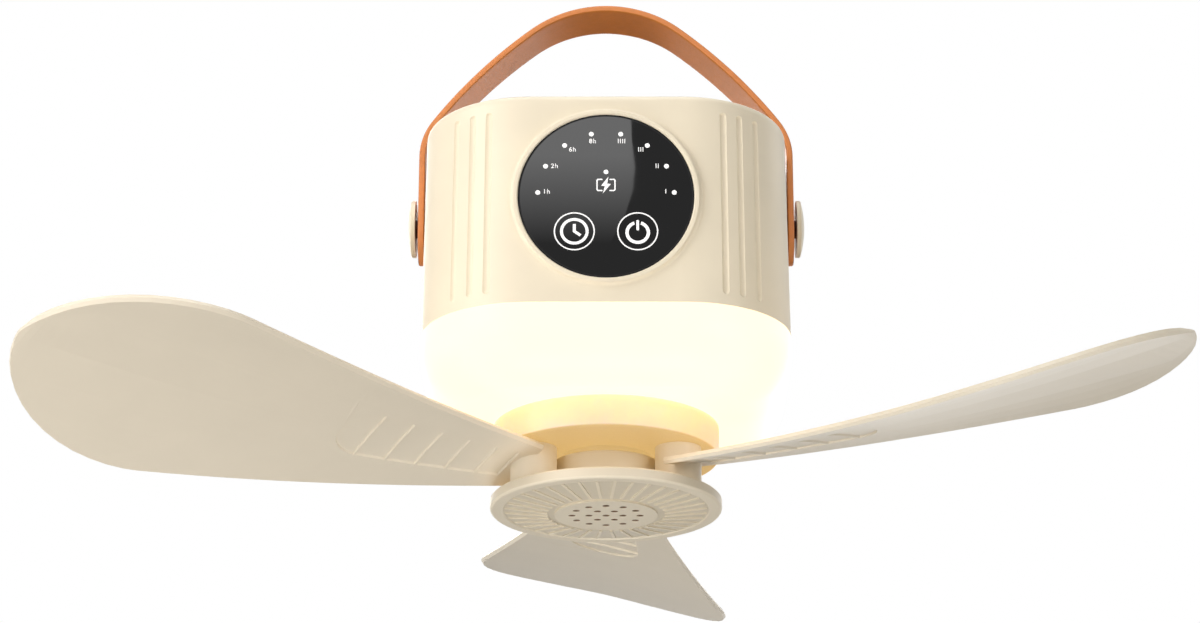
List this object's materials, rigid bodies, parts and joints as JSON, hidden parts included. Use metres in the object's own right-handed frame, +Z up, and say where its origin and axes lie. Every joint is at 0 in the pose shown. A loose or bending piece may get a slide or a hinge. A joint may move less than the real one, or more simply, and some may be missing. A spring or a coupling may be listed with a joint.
{
  "type": "hanging camping fan with lamp",
  "caption": "Hanging camping fan: rounded cream body with a touch panel, a lamp ring below it, folding fan blades on a ribbed hub and a leather strap.",
  "frame": {"origin": "underside of the strap's arch at its apex, where a hook carries the fan", "axes": "+Z up along the rotor's axis, -Y towards the control panel, +X to the right of the panel"},
  "size_m": [0.3468, 0.3139, 0.173],
  "materials": {
    "strap_leather": "vegetable-tanned leather with a brown edge",
    "cream_shell": "fine satin moulding",
    "cream_hub": "satin moulding",
    "cream_blade": "satin moulding",
    "panel_black": "high gloss",
    "circuit_board": "solder mask",
    "board_white": "white solder mask",
    "led_white": "clear resin",
    "led_warm": "phosphor resin",
    "dark_foam": "conductive foam",
    "cream_knob": "polished moulding",
    "black_rubber": "matt rubber",
    "brown_collar": "satin",
    "insert_brass": "turned",
    "cell_sleeve": "shrink sleeve over a metal can",
    "white_inner": "moulded",
    "steel_bright": "turned or stamped",
    "lamp_opal": "opal diffuser",
    "aluminium_base": "die cast",
    "stator_iron": "laminated",
    "coil_copper": "enamelled copper wire"
  },
  "bodies": {
    "strap": {"handle_strap": "strap_leather"},
    "lamp_body": {"housing_shell": "cream_shell", "touch_panel": "panel_black", "control_board": "circuit_board", "indicator_leds": "led_white", "touch_pads": "dark_foam", "strap_knob_left": "cream_knob", "strap_knob_right": "cream_knob", "strap_washers": "black_rubber", "strap_collars": "brown_collar", "strap_nuts": "insert_brass", "battery_cells": "cell_sleeve", "battery_holder": "white_inner", "main_board": "circuit_board", "usb_socket": "steel_bright", "mid_frame": "white_inner", "body_screws": "steel_bright", "led_board": "board_white", "lamp_leds": "led_warm", "lamp_cover": "lamp_opal", "motor_base": "aluminium_base", "motor_bearings": "steel_bright", "stator_core": "stator_iron", "stator_coils": "coil_copper"},
    "rotor": {"motor_shaft": "steel_bright", "rotor_bell": "steel_bright", "magnet_ring": "stator_iron", "hub_carrier": "cream_hub", "hub_cap": "cream_hub", "hub_screws": "steel_bright", "hinge_pins": "steel_bright"},
    "left_blade": {"blade_left": "cream_blade"},
    "right_blade": {"blade_right": "cream_blade"},
    "back_blade": {"blade_back": "cream_blade"}
  },
  "joints": [
    {"name": "strap_swing", "type": "hinge", "parent": "strap", "child": "lamp_body", "pos_m": [0, 0, -0.0742], "axis": [1, 0, 0], "range_deg": [-30, 30]},
    {"name": "fan_spin", "type": "hinge", "parent": "lamp_body", "child": "rotor", "pos_m": [0, 0, -0.1527], "axis": [0, 0, 1], "continuous": true},
    {"name": "left_blade_fold", "type": "hinge", "parent": "rotor", "child": "left_blade", "pos_m": [-0.02252, -0.013, -0.1593], "axis": [0, 0, 1], "range_deg": [0, 60]},
    {"name": "right_blade_fold", "type": "hinge", "parent": "rotor", "child": "right_blade", "pos_m": [0.02252, -0.013, -0.1593], "axis": [0, 0, 1], "range_deg": [0, 60]},
    {"name": "back_blade_fold", "type": "hinge", "parent": "rotor", "child": "back_blade", "pos_m": [0, 0.026, -0.1593], "axis": [0, 0, 1], "range_deg": [0, 60]}
  ]
}
